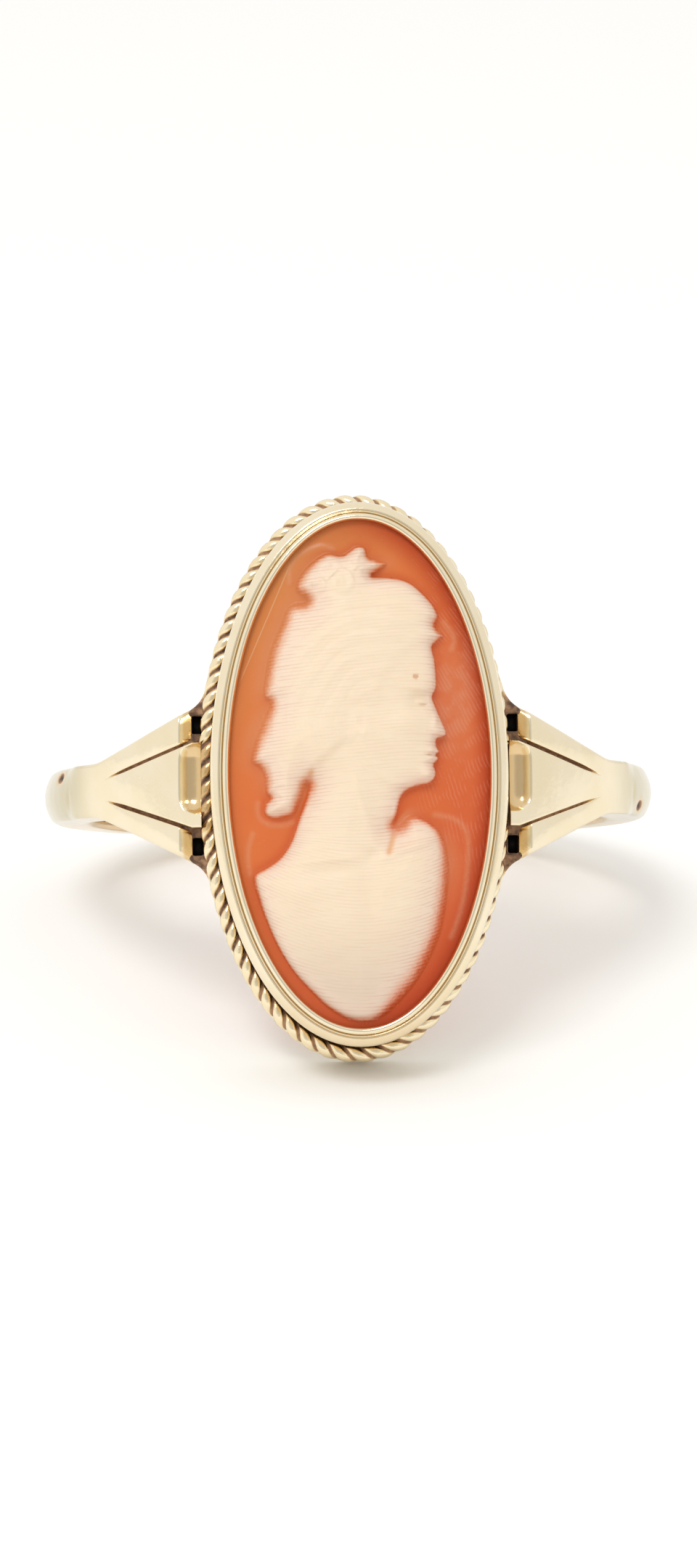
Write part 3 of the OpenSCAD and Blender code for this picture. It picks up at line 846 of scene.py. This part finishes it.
hair_line = [
    (-1.61, -0.36, 0.30), (-1.71, -0.63, 0.30), (-1.87, -1.01, 0.25), (-2.08, -1.29, 0.16),
    (-2.64, -1.39, 0.10), (-2.94, -1.24, 0.10), (-2.92, -0.92, 0.12), (-2.78, -0.74, 0.12),
    (-2.92, -0.58, 0.20), (-2.97, -0.10, 0.25), (-3.10, 0.16, 0.22), (-3.35, 0.40, 0.22),
    (-3.22, 1.03, 0.30), (-2.97, 1.66, 0.34), (-2.78, 2.16, 0.26), (-2.93, 2.32, 0.22),
    (-2.96, 2.64, 0.30), (-2.84, 3.38, 0.32), (-2.68, 3.96, 0.32), (-2.40, 4.60, 0.30),
    (-2.22, 5.04, 0.28), (-1.98, 5.24, 0.28), (-1.62, 5.32, 0.30), (-1.95, 5.72, 0.22),
    (-1.60, 6.35, 0.22), (-1.00, 6.77, 0.14), (-0.52, 6.72, 0.10), (-0.32, 6.80, 0.08),
    (-0.03, 6.99, 0.07), (0.24, 6.94, 0.10), (0.34, 6.66, 0.14), (0.55, 6.60, 0.16),
    (0.91, 6.46, 0.22), (0.74, 6.26, 0.18), (0.44, 6.07, 0.10), (0.98, 6.02, 0.06),
    (1.55, 5.88, 0.06), (2.02, 5.50, 0.06), (2.36, 5.10, 0.08), (2.48, 4.80, 0.12),
    (2.37, 4.56, 0.12), (2.50, 4.36, 0.18), (2.64, 4.20, 0.16), (2.44, 4.05, 0.08),
]
front_hair_line = [
    (2.20, 3.86, 0), (1.95, 3.78, 0), (1.50, 3.55, 0), (1.05, 3.10, 0), (0.78, 2.62, 0),
    (0.62, 2.15, 0), (0.30, 1.98, 0), (-0.10, 2.02, 0), (-0.38, 1.70, 0), (-0.42, 1.10, 0),
    (-0.72, 0.62, 0), (-1.10, 0.25, 0), (-1.40, -0.05, 0),
]
jaw_line = [(0.95, -0.35, 0), (0.42, 0.15, 0), (0.05, 0.75, 0), (-0.4, 1.1, 0)]
# Bumps and hollows: x, y, half width, half height, turn in degrees, and height before form_scale.
form_scale = 1.7
forms = [
    (1.42, 1.45, 0.62, 0.48, 0, 0.085),  # cheek
    (1.84, 2.17, 0.30, 0.22, 0, -0.115),  # hollow of the eye
    (1.90, 2.15, 0.20, 0.085, -4, 0.085),  # upper lid
    (1.96, 2.07, 0.13, 0.035, 0, -0.035),  # opening of the eye
    (1.90, 1.96, 0.17, 0.045, 6, 0.030),  # lower lid
    (1.78, 2.58, 0.42, 0.10, -6, 0.050),  # brow
    (2.38, 1.70, 0.11, 0.42, -20, 0.060),  # ridge of the nose
    (2.36, 1.19, 0.12, 0.11, 0, 0.060),  # wing of the nose
    (2.50, 1.12, 0.07, 0.03, 10, -0.045),  # nostril
    (2.27, 0.64, 0.18, 0.060, -10, 0.045),  # upper lip
    (2.21, 0.535, 0.20, 0.028, 4, -0.060),  # mouth
    (2.24, 0.43, 0.16, 0.060, 8, 0.045),  # lower lip
    (2.14, 0.25, 0.18, 0.060, 0, -0.025),  # below the lip
    (2.08, -0.08, 0.24, 0.20, 0, 0.060),  # chin
    (0.30, 1.10, 0.45, 0.60, 20, 0.030),  # jaw by the ear
    (0.02, 1.52, 0.26, 0.42, 12, 0.040),  # ear
    (0.06, 1.56, 0.15, 0.26, 12, -0.035),  # hollow of the ear
    (0.10, 1.16, 0.13, 0.14, 0, 0.025),  # lobe
    (0.10, -1.20, 0.22, 1.15, 17, 0.055),  # cord of the neck
    (0.34, -2.52, 0.26, 0.20, 0, -0.070),  # pit of the neck
    (-0.95, -2.66, 1.05, 0.11, 5, 0.045),  # collarbone
    (1.55, -2.30, 0.75, 0.11, 18, 0.045),  # collarbone
    (-0.90, -3.02, 0.95, 0.16, 5, -0.030),
    (-2.05, -3.75, 0.80, 0.70, 0, 0.070),  # shoulder
    (1.15, -4.05, 1.05, 1.20, 0, 0.100),  # breast
    (-0.55, -4.60, 0.85, 1.10, 0, 0.050),
    (0.25, -3.95, 0.28, 1.10, 8, -0.040),
]
curls = [(-1.42, 5.78), (-0.98, 6.30), (-0.10, 6.55), (0.22, 6.15), (-0.55, 5.85), (-2.45, -0.72)]
# Faint steps that the graver left in the ground: x, y along each.
ledges = [
    [(-2.10, 5.90), (-2.08, 6.40), (-1.70, 6.80), (-1.15, 7.00), (-0.75, 6.90)],
    [(2.30, -1.30), (2.85, -1.42), (3.22, -1.75), (3.32, -2.46), (3.14, -3.97), (2.77, -5.04)],
    [(-3.30, -1.85), (-3.42, -2.25), (-3.45, -2.69), (-3.38, -3.10)],
    [(-3.12, -0.90), (-3.10, -1.30), (-2.80, -1.55), (-2.40, -1.58), (-2.05, -1.50)],
    [(2.62, 4.62), (2.86, 4.35), (2.95, 4.05), (2.86, 3.80)],
]
# Places in the figure where the cream layer was cut almost through, painted brown partly as the
# ground showing through and partly as painted shadow: x, y along each.
seams = [
    [(1.12, -1.52), (1.03, -1.85), (0.95, -2.15), (0.86, -2.45)],
    [(1.22, -1.48), (1.10, -1.75), (0.98, -2.02)],
    [(-1.72, -0.60), (-1.62, -0.28), (-1.50, 0.02)],
    [(-1.82, -0.66), (-1.70, -0.34)],
]


def rounded(outline, steps=5):
    """Threads a smooth closed line through a few chosen points."""
    p = np.array(outline)
    before, after, beyond = np.roll(p, 1, 0), np.roll(p, -1, 0), np.roll(p, -2, 0)
    made = []
    for t in np.arange(steps) / steps:
        made.append(
            0.5
            * (
                2 * p
                + (after - before) * t
                + (2 * before - 5 * p + 4 * after - beyond) * t**2
                + (3 * p - before - 3 * after + beyond) * t**3
            )
        )
    return np.stack(made, 1).reshape(-1, p.shape[1])


def edge_distances(x, y, line):
    """Distance to each edge of a closed line, a row for each point."""
    run = np.roll(line, -1, 0) - line
    px, py = x[:, None] - line[None, :, 0], y[:, None] - line[None, :, 1]
    share = np.clip((px * run[:, 0] + py * run[:, 1]) / (run[:, 0] ** 2 + run[:, 1] ** 2), 0, 1)
    return np.hypot(px - share * run[:, 0], py - share * run[:, 1])


def near_paths(x, y, paths, width):
    """1 on any of the paths, fading out to 0 at each side."""
    near = np.zeros_like(x)
    for path in paths:
        there_and_back = np.array(path + path[-2:0:-1])
        d = edge_distances(x, y, rounded(there_and_back, 4)).min(1)
        near = np.maximum(near, np.exp(-((d / width) ** 2)))
    return near


def depth_inside(x, y, line):
    """Distance inside a closed line, negative outside it, and the distances to its edges."""
    away = edge_distances(x, y, line[:, :2])
    stop = np.roll(line, -1, 0)
    above = (line[None, :, 1] > y[:, None]) != (stop[None, :, 1] > y[:, None])
    rise = stop[:, 1] - line[:, 1]
    rise = np.where(np.abs(rise) < 1e-9, 1e-9, rise)
    crossing = line[:, 0] + (y[:, None] - line[None, :, 1]) / rise * (stop[:, 0] - line[:, 0])
    within = (above & (x[:, None] < crossing)).sum(1) % 2 == 1
    return np.where(within, 1, -1) * away.min(1), away


def hill(x, y, form):
    """1 on top of a bump, fading out over its half width and half height."""
    cx, cy, rx, ry, turn, _ = form
    a = math.radians(turn)
    u = (x - cx) * math.cos(a) + (y - cy) * math.sin(a)
    v = (y - cy) * math.cos(a) - (x - cx) * math.sin(a)
    return np.exp(-((u / rx) ** 2) - (v / ry) ** 2)


def carve(x, y):
    """Height of the carving over the ground, and the values that its colours need."""
    figure = rounded(profile_line + neck_and_bust + hair_line)
    depth, away = depth_inside(x, y, figure)
    near = 1 / (away**2 + 0.004) ** 2
    softness = (near * (figure[:, 2] + np.roll(figure[:, 2], -1)) / 2).sum(1) / near.sum(1)
    in_hair, _ = depth_inside(x, y, rounded(hair_line + front_hair_line, 3))
    head_line = rounded(profile_line[:-3] + jaw_line + hair_line[9:], 3)
    in_head, _ = depth_inside(x, y, head_line)

    d = np.maximum(depth, 0)
    eased = d * d / (d + 0.9 * softness)
    swell = np.sqrt(1 - (1 - np.minimum(eased / 2.1, 1)) ** 2)
    high = edge_high * (1 - np.exp(-eased / (0.04 + 0.5 * softness))) + swell_high * swell
    figure_share = ease(depth, 0.0, 0.25)
    hair = ease(in_hair, -0.05, 0.35)
    behind_jaw = (1 - ease(in_head, -0.28, 0.10)) * ease(y, -3.4, -1.0)
    high -= figure_share * (1 - hair) * 0.09 * behind_jaw
    for form in forms:
        high += figure_share * form_scale * form[5] * hill(x, y, form) * (1 - hair)
    wave_r = np.hypot((x - wave_middle[0]) * 0.92, y - wave_middle[1])
    wave_turn = np.arctan2(y - wave_middle[1], x - wave_middle[0])
    strand = wave_r + 0.07 * np.sin(3.0 * wave_turn) + 0.045 * np.sin(7 * wave_turn + 1.2 * wave_r)
    lock = np.cos(2 * math.pi * strand / wave_pitch) + 0.35 * np.cos(2 * math.pi * strand / 0.21 + 1.0)
    loose = np.zeros_like(x)
    curl_high = np.zeros_like(x)
    for cx, cy in curls:
        r = np.hypot(x - cx, y - cy)
        a = np.arctan2(y - cy, x - cx)
        here = np.exp(-((r / curl_reach) ** 4))
        wound = 0.022 * np.cos(2 * math.pi * r / curl_pitch - a)
        curl_high = np.where(here > loose, wound, curl_high)
        loose = np.maximum(loose, here)
    high += figure_share * hair * (0.05 + 0.010 * lock * (1 - loose) + curl_high * loose)
    high = np.minimum(np.maximum(high, 0) * relief_high / relief_start, relief_high)

    ledge = near_paths(x, y, ledges, 0.09) * (1 - ease(depth, -0.12, 0.0))
    seam = near_paths(x, y, seams, 0.085)
    bust = 1 - ease(y, -2.6, -1.0)
    # the graver's lines: nearly level over the head, and bowed over the bust
    head_lines = y - 0.10 * x + 0.05 * np.maximum(x - 0.8, 0) ** 2
    lines = head_lines * (1 - bust) + (y - 0.09 * x * x) * bust
    return high + 0.02 * ledge - 0.06 * seam * figure_share, depth, softness, lines, ledge, seam


def cameo_mesh():
    u = np.linspace(-1, 1, net_across + 1)[:, None] * np.ones((1, net_along + 1))
    v = np.linspace(-1, 1, net_along + 1)[None, :] * np.ones((net_across + 1, 1))
    x = (stone_half[0] * u * np.sqrt(1 - v * v / 2)).ravel()
    y = (stone_half[1] * v * np.sqrt(1 - u * u / 2)).ravel()
    dome = np.maximum(0, 1 - (x / opening_half[0]) ** 2 - (y / opening_half[1]) ** 2)
    high, depth, softness, lines, ledge, seam = carve(x, y)
    off_lip = 1 - (x / clear_half[0]) ** 2 - (y / clear_half[1]) ** 2
    z = ground_high + ground_dome * dome + high * np.minimum(1, 16 * np.maximum(0, off_lip))
    index = np.arange(len(x)).reshape(net_across + 1, net_along + 1)
    quads = np.stack([index[:-1, :-1], index[1:, :-1], index[1:, 1:], index[:-1, 1:]], -1)
    rim = np.concatenate([index[:-1, 0], index[-1, :-1], index[:0:-1, -1], index[0, :0:-1]])
    low = np.arange(len(rim)) + len(x)
    points = np.concatenate(
        [np.stack([x, y, z], -1), np.stack([x[rim], y[rim], np.full(len(rim), stone_low)], -1)]
    )
    ahead = np.roll(np.arange(len(rim)), -1)
    walls = np.stack([rim, low, low[ahead], rim[ahead]], -1)
    mesh = bpy.data.meshes.new("cameo")
    faces = quads.reshape(-1, 4).tolist() + walls.tolist() + [low[::-1].tolist()]
    mesh.from_pydata(points.tolist(), [], faces)
    kept = {"inward": depth, "softness": softness, "lines": lines, "ledge": ledge, "seam": seam}
    for name, value in kept.items():
        mesh.attributes.new(name, "FLOAT", "POINT").data.foreach_set(
            "value", np.concatenate([value, value[rim]]).astype(np.float32)
        )
    mesh.attributes.new("spot", "FLOAT_VECTOR", "POINT").data.foreach_set(
        "vector", points.astype(np.float32).ravel()
    )
    return closed_shell(mesh, 0, 60)


def shell_finish():
    """Two layers of shell: an orange ground, and cream over it that turns pink where it is thin."""
    orange, red_orange = (0.68, 0.175, 0.048, 1), (0.62, 0.118, 0.038, 1)
    tan_brown, deep_red = (0.60, 0.245, 0.072, 1), (0.46, 0.052, 0.012, 1)
    shaded_red, pale_orange = (0.60, 0.105, 0.030, 1), (0.68, 0.29, 0.14, 1)
    hazy_pink, scraped_pink = (0.64, 0.27, 0.15, 1), (0.74, 0.38, 0.24, 1)
    ledge_pink, scratch_tan = (0.68, 0.35, 0.20, 1), (0.72, 0.46, 0.24, 1)
    thin_pink, thin_rose = (0.78, 0.45, 0.30, 1), (0.77, 0.41, 0.29, 1)
    cream_light, cream_warm = (0.85, 0.705, 0.53, 1), (0.83, 0.66, 0.485, 1)
    shaded_cream, cream_pink = (0.64, 0.52, 0.41, 1), (0.82, 0.63, 0.52, 1)
    stroke_pink, seam_shadow_brown = (0.68, 0.45, 0.34, 1), (0.76, 0.41, 0.20, 1)
    fleck_brown = (0.60, 0.28, 0.13, 1)
    shell = Finish("carved_shell")
    inward, softness = shell.value("inward"), shell.value("softness")
    lines, ledge, seam = shell.value("lines"), shell.value("ledge"), shell.value("seam")
    spot = shell.node("ShaderNodeAttribute", {"attribute_name": "spot"}, out="Vector")
    x, y, z = shell.axes(spot)
    front = z.rise(11.2, 12.0)
    cloud = shell.noise(spot, 0.55, 3.0)
    grain = shell.noise(spot, 9.0, 3.0, 0.6)
    drift = shell.noise(spot, 2.2, 2.0)
    strokes = shell.noise(shell.times(spot, (0.9, 6.0, 1.0)), 1.0, 2.0)

    # the fine lines that the graver leaves across the cream layer
    comb = (lines * (2 * math.pi / 0.108) + strokes * 3.0).sine()
    comb_deep = comb * strokes.rise(0.25, 0.65)
    ragged = comb_deep * 0.13 + (grain - 0.5) * 0.55 + (drift - 0.5) * 0.3
    cream = ((inward + softness * ragged) / softness).rise(0.0, 1.75)
    inner = (inward / (softness + 0.10)).rise(0.0, 4.0)

    # the ground: tan at the upper left, red towards the lower right and the rim
    reach = (x / 4.0) ** 2.0 + (y / 7.8) ** 2.0
    warm = (x * 0.075 - y * 0.045 + cloud * 0.5 + 0.12).rise(0.0, 0.9)
    ground = shell.mix(warm, orange, red_orange)
    tan = (x * -0.12 + y * 0.11 + cloud * 0.3 - 0.45).rise(0.0, 0.8)
    ground = shell.mix(tan * 0.75, ground, tan_brown)
    edge = reach.rise(0.72, 1.0) * (x * 0.25 + 0.6).rise(0.0, 1.0)
    ground = shell.mix(edge * 0.85, ground, deep_red)
    hug = inward.rise(-0.34, 0.0) * (0.5 - softness).rise(0.10, 0.45)
    ground = shell.mix(hug * 0.5, ground, shaded_red)
    glow = inward.rise(-0.55, 0.0) * softness.rise(0.10, 0.34) * y.rise(-4.5, -2.0)
    ground = shell.mix(glow * 0.45, ground, pale_orange)

    # a paler, hazy stretch before the face, with the curved strokes of the scraper
    haze = (x - 2.9).size().rise(1.0, 0.1) * (y - 2.2).size().rise(2.6, 0.2)
    haze = haze * front * (drift.rise(0.25, 0.7) * 0.3 + 0.22)
    ground = shell.mix(haze, ground, hazy_pink)
    sweep_round = (x * 0.84 + y * 0.30 + y * y * 0.035) * (2 * math.pi / 0.105) + drift * 7.0
    tooled = sweep_round.sine().rise(-0.2, 0.9) * drift.rise(0.42, 0.60)
    tooled = tooled * front * x.rise(1.5, 2.5) * y.rise(-4.5, -1.5)
    ground = shell.mix(tooled * 0.15, ground, scraped_pink)
    ground = shell.mix(ledge * (0.12 + grain * 0.30), ground, ledge_pink)

    # one long scratch down the upper left of the ground
    scratch_turn = math.radians(23.5)
    across = x * math.cos(scratch_turn) - y * math.sin(scratch_turn) + 4.482
    along = x * math.sin(scratch_turn) + y * math.cos(scratch_turn)
    scratch = front * across.size().rise(0.030, 0.008) * along.rise(1.0, 1.6) * along.rise(5.2, 4.8)
    ground = shell.mix(scratch * 0.45, ground, scratch_tan)

    # the cream layer turns pink where it is thin
    thin = shell.mix(warm, thin_pink, thin_rose)
    colour = shell.mix(cream.rise(0.0, 0.50), ground, thin)
    # painted shade: the cream turns grey towards the bottom of the bust
    low_shade = y.rise(-3.8, -7.4)
    body = shell.mix(cloud.rise(0.3, 0.8) * 0.5, cream_light, cream_warm)
    body = shell.mix(low_shade * 0.75, body, shaded_cream)
    body = shell.mix(inner.rise(1.0, 0.0) * 0.60, body, cream_pink)
    shadowed = comb_deep.rise(-0.1, -0.8) * (0.16 + inner.rise(1.0, 0.0) * 0.42)
    body = shell.mix(shadowed, body, stroke_pink)
    # the cuts are painted brown, partly as the ground showing through and partly as painted shadow
    body = shell.mix(seam * 0.8, body, seam_shadow_brown)
    fleck = ((x - 1.72) ** 2.0 + (y - 2.92) ** 2.0 + (grain - 0.5) * 0.03).rise(0.016, 0.0)
    body = shell.mix(fleck * 0.7, body, fleck_brown)
    colour = shell.mix(cream.rise(0.30, 1.0), colour, body)
    height = comb_deep * cream.rise(0.1, 0.5) * 0.5 + grain * 0.25
    height = height + tooled * 0.2 + ledge * 0.2 - scratch * 0.6
    return shell.ends(
        Base_Color=colour,
        Roughness=(0.24 + cream * 0.20 + grain * 0.05).clamped(),
        Specular_IOR_Level=0.22,
        Subsurface_Weight=0.12,
        Subsurface_Radius=(1.0, 0.5, 0.3),
        Subsurface_Scale=0.0004,
        Coat_Roughness=0.1,
        Normal=shell.bump(height, 0.006),
    )


stone = new_piece("cameo_carved", cameo_mesh())
stone.data.transform(Matrix.Translation((bezel_off, head_shift, 0)))
stone.data.materials.append(shell_finish())
lay_down(stone, "cameo")


# Table, light and camera
# The ring lies on a plain white table under soft light from all round, and the camera looks at the
# head a little from below its own middle line, as the photograph does.

table_top = bpy.data.meshes.new("table")
table_top.from_pydata([(-2, -2, 0), (2, -2, 0), (2, 2, 0), (-2, 2, 0)], [], [(0, 1, 2, 3)])
table = new_piece("table", table_top)
paper = Finish("white_table")
table.data.materials.append(paper.ends(Base_Color=(0.97, 0.97, 0.965, 1), Roughness=0.9))

world = bpy.data.worlds.new("soft_room")
world.use_nodes = True
room = Tree(world.node_tree)
side_on, away, above = room.axes(room.node("ShaderNodeTexCoord", {}, out="Generated"))
# the room is a little darker at the right and round the camera
from_camera = away * -0.93 + above * 0.365
brightness = 1.00 - side_on.rise(-0.9, 0.9) * 0.08 - from_camera.rise(0.74, 0.98) * 0.32
background = world.node_tree.nodes["Background"]
room.put(background.inputs["Strength"], brightness)
room.put(background.inputs["Color"], (1.0, 0.985, 0.96, 1))
bpy.context.scene.world = world


def soft_box(name, place, aim, size, power):
    light = bpy.data.lights.new(name, "AREA")
    light.shape = "RECTANGLE"
    light.size, light.size_y = size
    light.energy = power
    lamp = new_piece(name, light)
    lamp.location = place
    lamp.rotation_euler = (Vector(aim) - Vector(place)).to_track_quat("-Z", "Y").to_euler()
    return lamp


head = LAID @ Vector((0, head_shift, 12.5))
soft_box("light_above", head + Vector((-0.10, -0.20, 0.34)), head, (0.16, 0.12), 0.46)

camera = bpy.data.cameras.new("camera")
camera.sensor_width = 36
camera.lens = 104.05
camera.clip_start, camera.clip_end = 0.005, 10
camera_away = 0.139
eye = new_piece("camera", camera)
target = LAID @ Vector((-0.272, -0.082, 12.55))
sideways_turn, up_turn = math.radians(-1.36), math.radians(-2.30)
look_from = Vector(
    (
        math.sin(sideways_turn) * math.cos(up_turn),
        math.sin(up_turn),
        math.cos(sideways_turn) * math.cos(up_turn),
    )
)
back = (LAID.to_3x3() @ look_from).normalized()
eye.location = target + back * camera_away
eye.rotation_euler = (-back).to_track_quat("-Z", "Y").to_euler()
bpy.context.scene.camera = eye
bpy.context.scene.view_settings.view_transform = "Standard"
